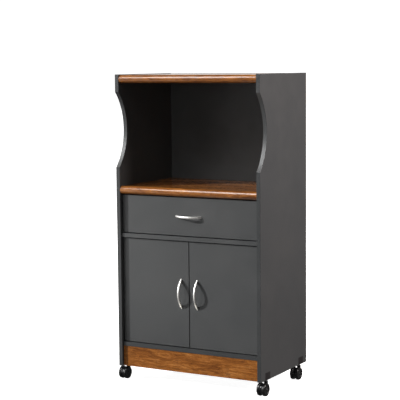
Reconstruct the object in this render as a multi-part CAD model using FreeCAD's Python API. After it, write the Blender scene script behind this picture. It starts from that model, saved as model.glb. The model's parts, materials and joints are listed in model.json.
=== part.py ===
"""Microwave stand on casters: open oven bay, one drawer, a two-door cupboard.

Millimetres. X runs to the right, -Y is the front, +Z is up.
The origin lies on the floor, under the middle of the whole outline.
"""
import FreeCAD, Part
import math
import os

V = FreeCAD.Vector

# ---------------------------------------------------------------- carcass
cabinet_width = 600.0          # over both side panels
side_height = 1095.0           # side panels, without casters
side_depth = 381.0             # side panels, without the back sheet
board = 15.0                   # laminated chipboard
nosed_board = 30.0             # top board and oven shelf, with a full round nose
back_sheet = 3.0               # hardboard
edge_round = 0.6               # softened edges of the edge banding
fit = 0.2                      # loose fit between pieces of one assembly
cut_over = 1.0                 # cutting bodies run this far past a face

top_set_down = 2.0             # side panels stand this much above the top board
oven_shelf_rise = 651.5        # underside of the oven shelf above the panel bottoms
divider_rise = 490.0           # underside of the board under the drawer
bottom_shelf_rise = 77.0       # underside of the cupboard floor
shelf_recess = 8.0             # front edges of divider and cupboard floor
kick_recess = 11.0
rear_rail_height = 60.0
back_margin = 1.0              # back sheets stay this far inside the outline

# round scoop in the front edge of each side panel, beside the oven bay
scoop_top_drop = 65.0
scoop_bottom_drop = 344.0
scoop_depth = 55.0

# ---------------------------------------------------------------- doors and drawer front
front_recess = 15.5            # doors and drawer front behind the panel edges
side_gap = 2.5                 # door or drawer front to side panel
row_gap = 3.0                  # above and below each front
centre_gap = 3.0               # between the doors

# ---------------------------------------------------------------- bow handles
handle_length = 112.0
handle_projection = 26.0
handle_thickness = 6.0         # at the middle of the bow
handle_foot = 14.0             # length of each foot on the board
handle_width = 8.0
handle_round = 2.4
handle_spacing = 96.0
handle_to_door_edge = 32.0
door_handle_rise = 198.0       # handle centre above the door's lower edge
handle_screw_radius = 2.0
handle_screw_bite = 5.0        # thread length inside the handle
handle_screw_head_radius = 4.0
handle_screw_head = 2.2
handle_screw_hole = 2.2        # radius of the hole through the board

# ---------------------------------------------------------------- knock-down fittings
cam_radius = 7.5
cam_depth = 12.0
cam_from_end = 24.0
cam_bolt_radius = 2.5
cam_bolt_head_radius = 3.0
cam_bolt_head = 3.0
cam_bolt_head_gap = 1.0        # bolt's end past the middle of the cam
cam_bolt_bore_radius = 3.5
cam_bolt_in_panel = 11.0
cam_mouth_radius = 3.2
cam_slot = (9.0, 1.6, 1.5)     # length, width and depth of the driver slot
bolt_line = 7.5                # bolt and dowel axis from the face with the cams
cam_edge_distance = 60.0       # from a board's front and back edge
dowel_radius = 3.0
dowel_in_panel = 9.0
dowel_in_board = 20.0
dowel_edge_distance = 30.0
rail_fitting_inset = 16.0      # dowels in the short rails, from their edges

# ---------------------------------------------------------------- adjustable shelf
loose_shelf_rise = 290.0
loose_shelf_front = 60.0
loose_shelf_end_gap = 1.0
pin_radius = 2.5
pin_in_panel = 9.0
pin_inset = 55.0               # pins from the loose shelf's front and back edge
pin_tongue = (9.0, 9.0, 3.0)   # reach, width and height under the shelf
pin_hole_pitch = 32.0
pin_hole_rows = (-2, -1, 0, 1, 2)

# ---------------------------------------------------------------- drawer box
drawer_board = 12.0
drawer_side_height = 100.0
drawer_back_gap = 15.5         # box to the panels' rear edges
drawer_lift = 8.0              # box bottom above the divider
drawer_bottom_lift = 8.0       # bottom sheet above the lower edge of the sides
drawer_groove = 5.0
drawer_screw_low = 40.0        # corner screws above the box's lower edge
drawer_screw_high = 15.0       # and below its upper edge
front_screw_low = 30.0         # screws into the drawer front, likewise
front_screw_high = 20.0
front_screw_inset = 100.0      # from the inside of the box

# ---------------------------------------------------------------- roller runners
runner_space = 12.5            # side panel to drawer side
runner_sheet = 1.2
runner_front = 33.0            # from the panel front edge
runner_back_gap = 18.0         # from the panel rear edge
runner_overlap = 80.0          # runner length still held when the drawer is out
channel_height = 24.0          # inside
channel_reach = 10.6
rail_drop = 2.5                # drawer rail under the channel's upper flange
rail_reach = 9.5               # drawer rail's flange, from the drawer side
wrap_reach = 12.0              # drawer rail's leg under the drawer side
drawer_roller_radius = 10.0
cabinet_roller_radius = 8.0
roller_width = 6.0
roller_from_end = 12.0
roller_gap = 0.3
roller_pin_radius = 2.0
roller_pin_head_radius = 3.2
roller_pin_head = 0.8
running_clearance = 0.05       # radial, every pin in its bore
stop_radius = 2.5              # pressed stop in the channel
stop_slack = 0.5
runner_screw_front = 25.0      # from the runner's front end
runner_screw_back = 30.0       # from its back end
rail_screw_bite = 10.0         # stays inside the drawer side
runner_screw_rise = 16.0       # above the channel's lower flange
roller_side_gap = 1.0          # roller to the sheet it is riveted to

# ---------------------------------------------------------------- door hinges
hinge_inset = 70.0             # hinge centre from the door's ends
pivot_from_edge = 15.0
pivot_from_front = 8.0
cup_radius = 17.5
cup_from_edge = 22.0
cup_depth = 11.5
cup_wall = 0.8
cup_flange = 1.0
cup_flange_rim = 2.5
cup_wing_length = 56.0
cup_wing_width = 13.0
cup_wing_offset = 5.5
cup_screw_spacing = 45.0
hinge_pin_radius = 1.5
knuckle_radius = 2.8
arm_width = 11.0
arm_sheet = 2.5
neck_reach = (17.0, 10.0)      # first bend of the neck from the pivot, along and behind the door
neck_back = (14.0, 22.0)       # second bend from the pivot
arm_channel_width = 15.0
arm_channel_height = 8.0
arm_channel_wall = 1.3
arm_channel_front = 38.0       # behind the door's front face
arm_channel_length = 58.0
arm_overlap = 6.0              # neck into the channel, and plate behind the channel's end
arm_over_plate = 1.0           # channel's rims above the plate's wings
plate_boss_width = 11.0
plate_short = 3.0              # boss ends this much before the channel
plate_wing = 2.0
plate_wing_length = 48.0
plate_wing_width = 13.0
plate_screw_spacing = 32.0
plate_setback = 52.0           # screw line behind the door's front face

# ---------------------------------------------------------------- magnetic catch
catch_length = 62.0
catch_depth = 14.0
catch_height = 12.0
catch_ear = 4.0                # thickness of the screwed ends
catch_ear_length = 10.0
catch_screw_spacing = 52.0
strike_width = 16.0
strike_height = 20.0
strike_sheet = 1.0
strike_from_edge = 4.0
strike_gap = 0.3
strike_drop = 1.0              # under the door's upper edge
strike_screw_rise = 5.0        # above the plate's lower edge

# ---------------------------------------------------------------- small wood screws
screw_radius = 1.75
screw_head_radius = 3.4
screw_head = 1.6
screw_head_taper = 0.8         # pan head is this much narrower on top
screw_bite = 10.0              # depth in the board

# ---------------------------------------------------------------- casters
wheel_radius = 23.5
wheel_width = 11.0
wheel_round = 3.5
wheel_hub_recess = 1.5
wheel_hub_radius = 16.0        # dished ring round the cap
wheel_cap_radius = 4.95
caster_web = 10.0
wheel_gap = 0.5
axle_radius = 3.0
axle_end_cover = 2.0           # closed outer face over the axle's end
caster_trail = 24.0
web_inside_tread = 2.0         # the web's round edge lies inside the wheels'
web_skirt = 9.0                # the web reaches this far below the axle
boss_wheel_gap = 1.2
boss_rise = 3.0                # boss above the wheels' tops
boss_radius = 7.0
boss_drop = 17.0
gusset_back = 5.6              # web behind the stem's axis
gusset_under = 2.0             # below the boss's top
boss_to_panel = 4.0            # free stem between boss and panel
stem_radius = 4.0
stem_in_boss = 12.0
stem_in_socket = 25.0
stem_tip_gap = 1.0
caster_front_inset = 54.0      # stem behind the panel front edge
caster_back_inset = 50.0       # stem before the panel rear edge
socket_width = 40.0
socket_height = 28.0
socket_flange = 3.0
socket_flange_height = 52.0
socket_screw_rise = 40.0
socket_screw_spacing = 24.0

# ---------------------------------------------------------------- derived places
half_width = cabinet_width / 2
inner_half = half_width - board
boss_top = wheel_radius * 2 + boss_rise
base = boss_top + boss_to_panel              # panel bottoms above the floor
total_depth = side_depth + back_sheet
handle_proud = max(handle_projection - front_recess, 0.0)
front = (handle_proud - total_depth) / 2     # Y of the panel front edges
rear = front + side_depth                    # Y of the panel rear edges
top = base + side_height

top_board_z = top - top_set_down - nosed_board
oven_shelf_z = base + oven_shelf_rise
divider_z = base + divider_rise
bottom_shelf_z = base + bottom_shelf_rise
loose_shelf_z = base + loose_shelf_rise
stem_x = half_width - board / 2

fronts_y = front + front_recess
fronts_back = fronts_y + board
door_z = bottom_shelf_z + board + row_gap
door_height = divider_z - row_gap - door_z
door_width = inner_half - side_gap - centre_gap / 2
drawer_front_z = divider_z + board + row_gap
drawer_front_height = oven_shelf_z - row_gap - drawer_front_z

runner_length = side_depth - runner_front - runner_back_gap
drawer_travel = runner_length - runner_overlap
drawer_half = inner_half - runner_space
drawer_z = divider_z + board + drawer_lift
drawer_back_y = rear - drawer_back_gap
drawer_floor_z = drawer_z + drawer_bottom_lift

parts = {}
cuts = {}


# ---------------------------------------------------------------- helpers
def block(x0, x1, y0, y1, z0, z1):
    """Box between two corners, in any order of each pair."""
    low = V(min(x0, x1), min(y0, y1), min(z0, z1))
    high = V(max(x0, x1), max(y0, y1), max(z0, z1))
    return Part.makeBox(high.x - low.x, high.y - low.y, high.z - low.z, low)


def rod(start, along, length, radius):
    """Cylinder from a point along a direction."""
    return Part.makeCylinder(radius, length, start, along)


def mirrored(shape):
    """The same piece on the left-hand side."""
    return shape.mirror(V(0, 0, 0), V(1, 0, 0))


def both_sides(shapes):
    """Right-hand pieces with their left-hand twins."""
    return [piece for shape in shapes for piece in (shape, mirrored(shape))]


def laid(shape, origin, way):
    """A piece drawn upright at the origin, moved to a point with its Z along way."""
    placed = shape.copy()
    placed.Placement = FreeCAD.Placement(origin, FreeCAD.Rotation(V(0, 0, 1), way))
    return placed


def add(name, *solids):
    """Collect solids under a node's name."""
    parts.setdefault(name, []).extend(solids)


def drill(name, *tools):
    """Collect cutting bodies for a node."""
    cuts.setdefault(name, []).extend(tools)


def soft_board(x0, x1, y0, y1, z0, z1):
    """A board with softened edges all round."""
    blank = block(x0, x1, y0, y1, z0, z1)
    return blank.makeFillet(edge_round, blank.Edges)


def outline_face(points, plane):
    """Face from corner points; a pair (through, end) is an arc, plane places (a, b) in space."""
    edges = []
    first = start = plane(*points[0])
    for item in points[1:]:
        if isinstance(item[0], tuple):
            through, end = plane(*item[0]), plane(*item[1])
            edges.append(Part.Arc(start, through, end).toShape())
        else:
            end = plane(*item)
            edges.append(Part.LineSegment(start, end).toShape())
        start = end
    if not start.isEqual(first, 1e-6):
        edges.append(Part.LineSegment(start, first).toShape())
    return Part.Face(Part.Wire(edges))


def wood_screw(start, along, bite, sheet=0.0, flush=False):
    """Screw whose head seats at start; bite is its depth past the fixed sheet."""
    shank = rod(start, along, bite + sheet, screw_radius)
    if flush:
        seat = Part.makeCone(screw_head_radius, screw_radius, screw_head, start, along)
    else:
        back = start - along * screw_head
        seat = Part.makeCone(screw_head_radius - screw_head_taper, screw_head_radius, screw_head, back, along)
    return shank.fuse(seat)


# ---------------------------------------------------------------- carcass boards
def side_panel():
    """Right side panel with the scoop beside the oven bay."""
    scoop_low = top - scoop_bottom_drop
    scoop_high = top - scoop_top_drop
    scoop_mid = (scoop_low + scoop_high) / 2
    outline = [
        (front, base), (front, scoop_low),
        ((front + scoop_depth, scoop_mid), (front, scoop_high)),
        (front, top), (rear, top), (rear, base),
    ]
    face = outline_face(outline, lambda y, z: V(inner_half, y, z))
    panel = face.extrude(V(board, 0, 0))
    outside = [e for e in panel.Edges if e.BoundBox.XMin > half_width - 0.01]
    return panel.makeFillet(edge_round, outside)


def nosed_shelf(z):
    """Full-depth board whose front edge is a half round, flush with the panel edges."""
    nose = nosed_board / 2
    outline = [
        (front + nose, z), (rear, z), (rear, z + nosed_board), (front + nose, z + nosed_board),
        ((front, z + nose), (front + nose, z)),
    ]
    face = outline_face(outline, lambda a, b: V(-inner_half, a, b))
    return face.extrude(V(2 * inner_half, 0, 0))


def carcass():
    """Side panels, fixed boards, rails and back sheets."""
    add("right_side_panel", side_panel())
    add("left_side_panel", mirrored(side_panel()))
    add("top_board", nosed_shelf(top_board_z))
    add("microwave_shelf", nosed_shelf(oven_shelf_z))
    shelf_front = front + shelf_recess
    add("divider_shelf", block(-inner_half, inner_half, shelf_front, rear, divider_z, divider_z + board))
    add("bottom_shelf", block(-inner_half, inner_half, shelf_front, rear,
                              bottom_shelf_z, bottom_shelf_z + board))
    kick_y = front + kick_recess
    add("kick_board", block(-inner_half, inner_half, kick_y, kick_y + board, base, bottom_shelf_z))
    add("rear_rail", block(-inner_half, inner_half, rear - board, rear,
                           bottom_shelf_z - rear_rail_height, bottom_shelf_z))
    sheet_half = half_width - back_margin
    seam = oven_shelf_z + nosed_board / 2
    add("upper_back_panel", block(-sheet_half, sheet_half, rear, rear + back_sheet,
                                  seam + back_margin / 2, top - back_margin))
    add("lower_back_panel", block(-sheet_half, sheet_half, rear, rear + back_sheet,
                                  bottom_shelf_z - rear_rail_height, seam - back_margin / 2))


# ---------------------------------------------------------------- cams, bolts and dowels
def cam_joint(node, centre, face_way, panel_x):
    """Cam in a board and its bolt in the right side panel.

    centre is the cam's middle on the board's face, face_way points into the board.
    """
    cam = rod(centre, face_way, cam_depth, cam_radius)
    axis_point = centre + face_way * bolt_line
    mouth = rod(axis_point, V(1, 0, 0), cam_radius + cut_over, cam_mouth_radius)
    cam = cam.cut(mouth.fuse(Part.makeSphere(cam_mouth_radius, axis_point)))
    length, width, depth = cam_slot
    slot = block(-length / 2, length / 2, -width / 2, width / 2, 0, depth)
    cam = cam.cut(laid(slot, centre, face_way))
    head_x = centre.x + cam_bolt_head_gap
    head = rod(V(head_x, axis_point.y, axis_point.z), V(1, 0, 0), cam_bolt_head, cam_bolt_head_radius)
    shank = rod(V(head_x, axis_point.y, axis_point.z), V(1, 0, 0),
                panel_x + cam_bolt_in_panel - head_x, cam_bolt_radius)
    bolt = head.fuse(shank)
    bore = rod(axis_point, V(1, 0, 0), panel_x - axis_point.x, cam_bolt_bore_radius)
    socket = rod(V(panel_x, axis_point.y, axis_point.z), V(1, 0, 0), cam_bolt_in_panel, cam_bolt_radius)
    hole = rod(centre, face_way, cam_depth, cam_radius)
    add("cam_locks", *both_sides([cam]))
    add("cam_bolts", *both_sides([bolt]))
    drill(node, *both_sides([hole, bore]))
    drill("right_side_panel", socket)
    drill("left_side_panel", mirrored(socket))


def end_dowel(node, y, z):
    """Dowel between a board's end and the side panel, on both sides."""
    start = V(inner_half - dowel_in_board, y, z)
    dowel = rod(start, V(1, 0, 0), dowel_in_board + dowel_in_panel, dowel_radius)
    add("wooden_dowels", *both_sides([dowel]))
    drill(node, *both_sides([dowel]))
    drill("right_side_panel", dowel)
    drill("left_side_panel", mirrored(dowel))


def fittings():
    """Cams, bolts and dowels of every fixed board."""
    cam_x = inner_half - cam_from_end
    boards = (("top_board", top_board_z), ("microwave_shelf", oven_shelf_z),
              ("divider_shelf", divider_z), ("bottom_shelf", bottom_shelf_z))
    for node, z in boards:
        for y in (front + cam_edge_distance, rear - cam_edge_distance):
            cam_joint(node, V(cam_x, y, z), V(0, 0, 1), inner_half)
        for y in (front + dowel_edge_distance, rear - dowel_edge_distance):
            end_dowel(node, y, z + bolt_line)
    kick_back = front + kick_recess + board
    rails = (("kick_board", kick_back, V(0, -1, 0), base, bottom_shelf_z),
             ("rear_rail", rear - board, V(0, 1, 0), bottom_shelf_z - rear_rail_height, bottom_shelf_z))
    for node, face_y, way, low, high in rails:
        cam_joint(node, V(cam_x, face_y, (low + high) / 2), way, inner_half)
        for z in (low + rail_fitting_inset, high - rail_fitting_inset):
            end_dowel(node, face_y + way.y * bolt_line, z)


# ---------------------------------------------------------------- adjustable shelf
def loose_shelf():
    """Adjustable shelf on four pins, with spare pin holes above and below."""
    end = inner_half - loose_shelf_end_gap
    shelf_front = front + loose_shelf_front
    shelf_back = rear - loose_shelf_end_gap
    add("adjustable_shelf", block(-end, end, shelf_front, shelf_back, loose_shelf_z, loose_shelf_z + board))
    reach, width, height = pin_tongue
    for y in (shelf_front + pin_inset, shelf_back - pin_inset):
        pin_z = loose_shelf_z - height / 2
        peg = rod(V(inner_half, y, pin_z), V(1, 0, 0), pin_in_panel, pin_radius)
        tongue = block(inner_half - reach, inner_half, y - width / 2, y + width / 2,
                       loose_shelf_z - height, loose_shelf_z)
        add("shelf_pins", *both_sides([peg.fuse(tongue)]))
        for row in pin_hole_rows:
            hole = rod(V(inner_half, y, pin_z + row * pin_hole_pitch), V(1, 0, 0), pin_in_panel, pin_radius)
            drill("right_side_panel", hole)
            drill("left_side_panel", mirrored(hole))


# ---------------------------------------------------------------- handles
def bow_handle():
    """Bow handle lying along X, its feet on the plane y = 0, the bow towards -Y."""
    half = handle_length / 2
    inner_end = half - handle_foot
    inner_rise = handle_projection - handle_thickness
    outline = [
        (-half, 0), ((0, -handle_projection), (half, 0)),
        (inner_end, 0), ((0, -inner_rise), (-inner_end, 0)),
    ]
    face = outline_face(outline, lambda x, y: V(x, y, -handle_width / 2))
    bow = face.extrude(V(0, 0, handle_width))
    long_edges = [e for e in bow.Edges
                  if e.BoundBox.ZLength < 0.01 and e.BoundBox.YLength > handle_thickness / 2]
    bow = bow.makeFillet(handle_round, long_edges)
    for x in (-handle_spacing / 2, handle_spacing / 2):
        bow = bow.cut(rod(V(x, 0, 0), V(0, -1, 0), handle_screw_bite, handle_screw_radius))
    return bow


def fix_handle(node, boards, centre, upright, back_y, screws):
    """Handle at centre on a front's face, with two machine screws from back_y."""
    handle = bow_handle()
    if upright:
        handle.rotate(V(0, 0, 0), V(0, 1, 0), 90)
    handle.translate(centre)
    add(node, handle)
    step = V(0, 0, handle_spacing / 2) if upright else V(handle_spacing / 2, 0, 0)
    for place in (centre - step, centre + step):
        seat = V(place.x, back_y, place.z)
        grip = back_y - centre.y
        shank = rod(seat, V(0, -1, 0), grip + handle_screw_bite, handle_screw_radius)
        head = rod(seat, V(0, 1, 0), handle_screw_head, handle_screw_head_radius)
        add(screws, shank.fuse(head))
        for board_name in boards:
            drill(board_name, rod(seat, V(0, -1, 0), grip, handle_screw_hole))


# ---------------------------------------------------------------- drawer
def drawer_box():
    """Drawer front, box, bottom and handle."""
    front_half = inner_half - side_gap
    add("drawer_front", soft_board(-front_half, front_half, fronts_y, fronts_back,
                                   drawer_front_z, drawer_front_z + drawer_front_height))
    box_top = drawer_z + drawer_side_height
    inner = drawer_half - drawer_board
    side = block(inner, drawer_half, fronts_back, drawer_back_y, drawer_z, box_top)
    inner_front_y = fronts_back + drawer_board
    add("drawer_inner_front", block(-inner, inner, fronts_back, inner_front_y, drawer_z, box_top))
    add("drawer_back", block(-inner, inner, drawer_back_y - drawer_board, drawer_back_y,
                             drawer_floor_z + back_sheet, box_top))
    sheet = block(-inner - drawer_groove, inner + drawer_groove, inner_front_y - drawer_groove,
                  drawer_back_y, drawer_floor_z, drawer_floor_z + back_sheet)
    add("drawer_bottom", sheet)
    add("drawer_right_side", side)
    add("drawer_left_side", mirrored(side))
    for node in ("drawer_right_side", "drawer_left_side", "drawer_inner_front"):
        drill(node, sheet)

    screws = []
    for y in (fronts_back + drawer_board / 2, drawer_back_y - drawer_board / 2):
        for z in (drawer_z + drawer_screw_low, box_top - drawer_screw_high):
            screws.append(wood_screw(V(drawer_half, y, z), V(-1, 0, 0), drawer_board + 2 * screw_bite,
                                     flush=True))
    for screw in screws:
        drill("drawer_right_side", screw)
        drill("drawer_left_side", mirrored(screw))
        drill("drawer_inner_front", *both_sides([screw]))
        drill("drawer_back", *both_sides([screw]))
    add("drawer_screws", *both_sides(screws))
    for x in (front_screw_inset - inner, inner - front_screw_inset):
        for z in (drawer_z + front_screw_low, box_top - front_screw_high):
            screw = wood_screw(V(x, inner_front_y, z), V(0, -1, 0), drawer_board + screw_bite, flush=True)
            add("drawer_screws", screw)
            drill("drawer_inner_front", screw)
            drill("drawer_front", screw)
    centre = V(0, fronts_y, drawer_front_z + drawer_front_height / 2)
    fix_handle("drawer_handle", ("drawer_front", "drawer_inner_front"), centre, False,
               inner_front_y, "drawer_screws")


def runners():
    """Roller runners: channel on the panel, rail on the drawer side, a roller on each."""
    floor = drawer_z                                   # upper face of the channel's lower flange
    roof = floor + channel_height
    y0 = front + runner_front
    y1 = y0 + runner_length
    wall = inner_half
    channel = block(wall - runner_sheet, wall, y0, y1, floor - runner_sheet, roof + runner_sheet)
    for z in (floor - runner_sheet, roof):
        channel = channel.fuse(block(wall - channel_reach, wall, y0, y1, z, z + runner_sheet))

    rail_top = roof - rail_drop + runner_sheet
    rail_face = drawer_half + runner_sheet
    rail = block(drawer_half, rail_face, y0, y1, floor - runner_sheet, rail_top)
    rail = rail.fuse(block(drawer_half, drawer_half + rail_reach, y0, y1, rail_top - runner_sheet, rail_top))
    rail = rail.fuse(block(drawer_half - wrap_reach, rail_face, y0, y1, floor - runner_sheet, floor))

    # roller on the channel's front end, carrying the rail's flange
    low_axis = V(wall - runner_sheet, y0 + roller_from_end,
                 rail_top - runner_sheet - roller_gap - cabinet_roller_radius)
    channel = channel.fuse(roller_pin(low_axis, V(-1, 0, 0)))
    add_roller("cabinet_roller", low_axis, V(-1, 0, 0), cabinet_roller_radius)

    # roller on the rail's back end, running inside the channel
    high_axis = V(rail_face, y1 - roller_from_end, floor + roller_gap + drawer_roller_radius)
    rail = rail.fuse(roller_pin(high_axis, V(1, 0, 0)))
    add_roller("drawer_roller", high_axis, V(1, 0, 0), drawer_roller_radius)

    # pressed stop that the drawer's roller meets at the end of its travel
    lift = drawer_roller_radius + roller_gap
    reach = math.sqrt((drawer_roller_radius + stop_radius) ** 2 - lift ** 2)
    stop_y = high_axis.y - drawer_travel - reach - stop_slack
    stop = rod(V(wall - channel_reach, stop_y, floor), V(1, 0, 0), channel_reach, stop_radius)
    channel = channel.fuse(stop.common(block(wall - channel_reach, wall, y0, y1, floor, roof)))

    for step in (runner_screw_front, runner_length / 2, runner_length - runner_screw_back):
        place = V(wall - runner_sheet, y0 + step, floor + runner_screw_rise)
        screw = wood_screw(place, V(1, 0, 0), screw_bite, runner_sheet, flush=True)
        channel = channel.cut(screw)
        add("cabinet_screws", *both_sides([screw]))
        drill("right_side_panel", screw)
        drill("left_side_panel", mirrored(screw))
        rail_place = V(rail_face, place.y, place.z)
        rail_screw = wood_screw(rail_place, V(-1, 0, 0), rail_screw_bite, runner_sheet, flush=True)
        rail = rail.cut(rail_screw)
        add("drawer_screws", *both_sides([rail_screw]))
        drill("drawer_right_side", rail_screw)
        drill("drawer_left_side", mirrored(rail_screw))
    add("cabinet_runners", *both_sides([channel.removeSplitter()]))
    add("drawer_runners", *both_sides([rail.removeSplitter()]))


def roller_pin(seat, way):
    """Rivet that a roller turns on, with a head at its free end."""
    length = roller_side_gap + roller_width + roller_gap
    pin = rod(seat - way * runner_sheet / 2, way, length + runner_sheet / 2, roller_pin_radius)
    head = rod(seat + way * length, way, roller_pin_head, roller_pin_head_radius)
    return pin.fuse(head)


def add_roller(name, seat, way, radius):
    """Nylon roller on its rivet, on both sides."""
    start = seat + way * roller_side_gap
    roller = rod(start, way, roller_width, radius)
    rims = [e for e in roller.Edges if isinstance(e.Curve, Part.Circle)]
    roller = roller.makeFillet(edge_round, rims)
    roller = roller.cut(rod(start - way * cut_over, way, roller_width + 2 * cut_over,
                            roller_pin_radius + running_clearance))
    add("right_" + name, roller)
    add("left_" + name, mirrored(roller))


# ---------------------------------------------------------------- doors
def doors():
    """Two inset doors with handles, hinge cups, strike plates and screws."""
    hinge_edge = inner_half - side_gap
    door = soft_board(hinge_edge - door_width, hinge_edge, fronts_y, fronts_back,
                      door_z, door_z + door_height)
    add("right_door", door)
    add("left_door", mirrored(door))
    hinge_heights = (door_z + hinge_inset, door_z + door_height - hinge_inset)
    for z in hinge_heights:
        door_hinge(hinge_edge, z)
    catch(hinge_edge - door_width)
    free_edge = centre_gap / 2
    for side, sign in (("right", 1), ("left", -1)):
        centre = V(sign * (free_edge + handle_to_door_edge), fronts_y, door_z + door_handle_rise)
        fix_handle(side + "_door_handle", (side + "_door",), centre, True, fronts_back,
                   side + "_door_screws")


def door_hinge(edge, z):
    """Cup hinge of the right door, and its mirror on the left.

    Its arm turns on one pin, set where the door clears the side panel as it opens.
    """
    def at(along, behind, up=0.0):
        return V(edge - along, fronts_y + behind, z + up)

    def flat(along, behind):
        return at(along, behind, -arm_width / 2)

    up = V(0, 0, 1)
    inward = V(0, -1, 0)

    # cup with its flange, in the back of the door
    mouth = at(cup_from_edge, board)
    pocket = rod(mouth, inward, cup_depth, cup_radius)
    cavity = rod(mouth + V(0, cup_flange, 0), inward, cup_depth + cup_flange - cup_wall,
                 cup_radius - cup_wall)
    wing_middle = cup_from_edge + cup_wing_offset
    wing = block(edge - wing_middle - cup_wing_width / 2, edge - wing_middle + cup_wing_width / 2,
                 fronts_back, fronts_back + cup_flange, z - cup_wing_length / 2, z + cup_wing_length / 2)
    flange = rod(mouth, V(0, 1, 0), cup_flange, cup_radius + cup_flange_rim).fuse(wing)
    cup = pocket.fuse(flange).cut(cavity)
    pin_offset = cup_from_edge - pivot_from_edge + hinge_pin_radius
    pin_half = math.sqrt(cup_radius ** 2 - pin_offset ** 2)
    pin = rod(at(pivot_from_edge, pivot_from_front, -pin_half), up, 2 * pin_half, hinge_pin_radius)
    cup = cup.cut(pin)
    for step in (-cup_screw_spacing / 2, cup_screw_spacing / 2):
        seat = at(wing_middle, board + cup_flange, step)
        screw = wood_screw(seat, inward, screw_bite, cup_flange)
        cup = cup.cut(screw)
        share_between_doors("door_screws", screw)
        drill("right_door", screw)
        drill("left_door", mirrored(screw))
    share_between_doors("hinge_cups", cup, pin)
    drill("right_door", pocket)
    drill("left_door", mirrored(pocket))

    # cranked neck from the pin round the end of the open door
    along, behind = pivot_from_edge, pivot_from_front
    web_top = arm_channel_height + arm_channel_wall - side_gap
    bend_a = (along + neck_reach[0], behind + neck_reach[1])
    bend_b = (along + neck_back[0], behind + neck_back[1])
    middle = web_top - arm_sheet / 2
    path = [(along, behind), bend_a, bend_b, (middle, arm_channel_front),
            (middle, arm_channel_front + arm_overlap)]
    neck = strip(path, arm_sheet, flat).extrude(up * arm_width)
    knuckle = rod(at(along, behind, -arm_width / 2), up, arm_width, knuckle_radius)

    # channel that seats on the mounting plate
    def on_wall(high, y):
        return edge + side_gap - high, fronts_y + y
    x_low, y_low = on_wall(plate_wing + arm_over_plate, arm_channel_front)
    x_high, y_high = on_wall(arm_channel_height + arm_channel_wall, arm_channel_front + arm_channel_length)
    half = arm_channel_width / 2
    channel = block(x_low, x_high, y_low, y_high, z - half, z + half)
    x_web = on_wall(arm_channel_height, 0)[0]
    hollow = block(x_low, x_web, y_low - cut_over, y_high + cut_over,
                   z - half + arm_channel_wall, z + half - arm_channel_wall)
    arm = neck.fuse([knuckle, channel.cut(hollow)])
    arm = arm.cut(rod(at(along, behind, -arm_width), up, 2 * arm_width, hinge_pin_radius + running_clearance))
    add("hinge_arms", *both_sides([arm.removeSplitter()]))

    # mounting plate on the side panel
    x_wall, y_plate = on_wall(0, arm_channel_front + arm_overlap)
    boss = block(x_wall, x_web, y_plate, y_high - plate_short,
                 z - plate_boss_width / 2, z + plate_boss_width / 2)
    y_line = fronts_y + plate_setback
    wings = block(x_wall, x_wall - plate_wing, y_line - plate_wing_width / 2, y_line + plate_wing_width / 2,
                  z - plate_wing_length / 2, z + plate_wing_length / 2)
    plate = boss.fuse(wings)
    for step in (-plate_screw_spacing / 2, plate_screw_spacing / 2):
        screw = wood_screw(V(x_wall - plate_wing, y_line, z + step), V(1, 0, 0), screw_bite, plate_wing)
        plate = plate.cut(screw)
        add("cabinet_screws", *both_sides([screw]))
        drill("right_side_panel", screw)
        drill("left_side_panel", mirrored(screw))
    add("hinge_plates", *both_sides([plate.removeSplitter()]))


def strip(path, thickness, plane):
    """Face of a bent strip with mitred corners, from the middle line's points."""
    half = thickness / 2
    sides = ([], [])
    count = len(path)
    for i, (a, b) in enumerate(path):
        before = path[max(i - 1, 0)]
        after = path[min(i + 1, count - 1)]
        ways = []
        for p, q in ((before, (a, b)), ((a, b), after)):
            length = math.hypot(q[0] - p[0], q[1] - p[1])
            if length > 0:
                ways.append(((q[0] - p[0]) / length, (q[1] - p[1]) / length))
        normal = (-sum(w[1] for w in ways), sum(w[0] for w in ways))
        size = math.hypot(*normal)
        normal = (normal[0] / size, normal[1] / size)
        stretch = half / (normal[0] * -ways[0][1] + normal[1] * ways[0][0])
        sides[0].append((a + normal[0] * stretch, b + normal[1] * stretch))
        sides[1].append((a - normal[0] * stretch, b - normal[1] * stretch))
    return outline_face(sides[0] + sides[1][::-1], plane)


def share_between_doors(name, *solids):
    """Put right-hand pieces on the right door and their twins on the left."""
    add("right_" + name, *solids)
    add("left_" + name, *[mirrored(s) for s in solids])


def catch(free_x):
    """Double magnetic catch under the divider, and a strike plate on each door."""
    strike_x = free_x + strike_from_edge
    strike_top = door_z + door_height - strike_drop
    strike_low = strike_top - strike_height
    strike = block(strike_x, strike_x + strike_width, fronts_back, fronts_back + strike_sheet,
                   strike_low, strike_top)
    middle = V(strike_x + strike_width / 2, fronts_back + strike_sheet, strike_low + strike_screw_rise)
    screw = wood_screw(middle, V(0, -1, 0), screw_bite, strike_sheet)
    share_between_doors("strike_plate", strike.cut(screw))
    share_between_doors("door_screws", screw)
    drill("right_door", screw)
    drill("left_door", mirrored(screw))

    y0 = fronts_back + strike_sheet + strike_gap
    z1 = divider_z
    half = catch_length / 2
    box_half = half - catch_ear_length
    body = block(-half, half, y0, y0 + catch_depth, z1 - catch_ear, z1)
    body = body.fuse(block(-box_half, box_half, y0, y0 + catch_depth, z1 - catch_height, z1))
    for x in (-catch_screw_spacing / 2, catch_screw_spacing / 2):
        screw = wood_screw(V(x, y0 + catch_depth / 2, z1 - catch_ear), V(0, 0, 1), screw_bite, catch_ear)
        body = body.cut(screw)
        add("cabinet_screws", screw)
        drill("divider_shelf", screw)
    add("magnetic_catch", body.removeSplitter())


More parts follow.
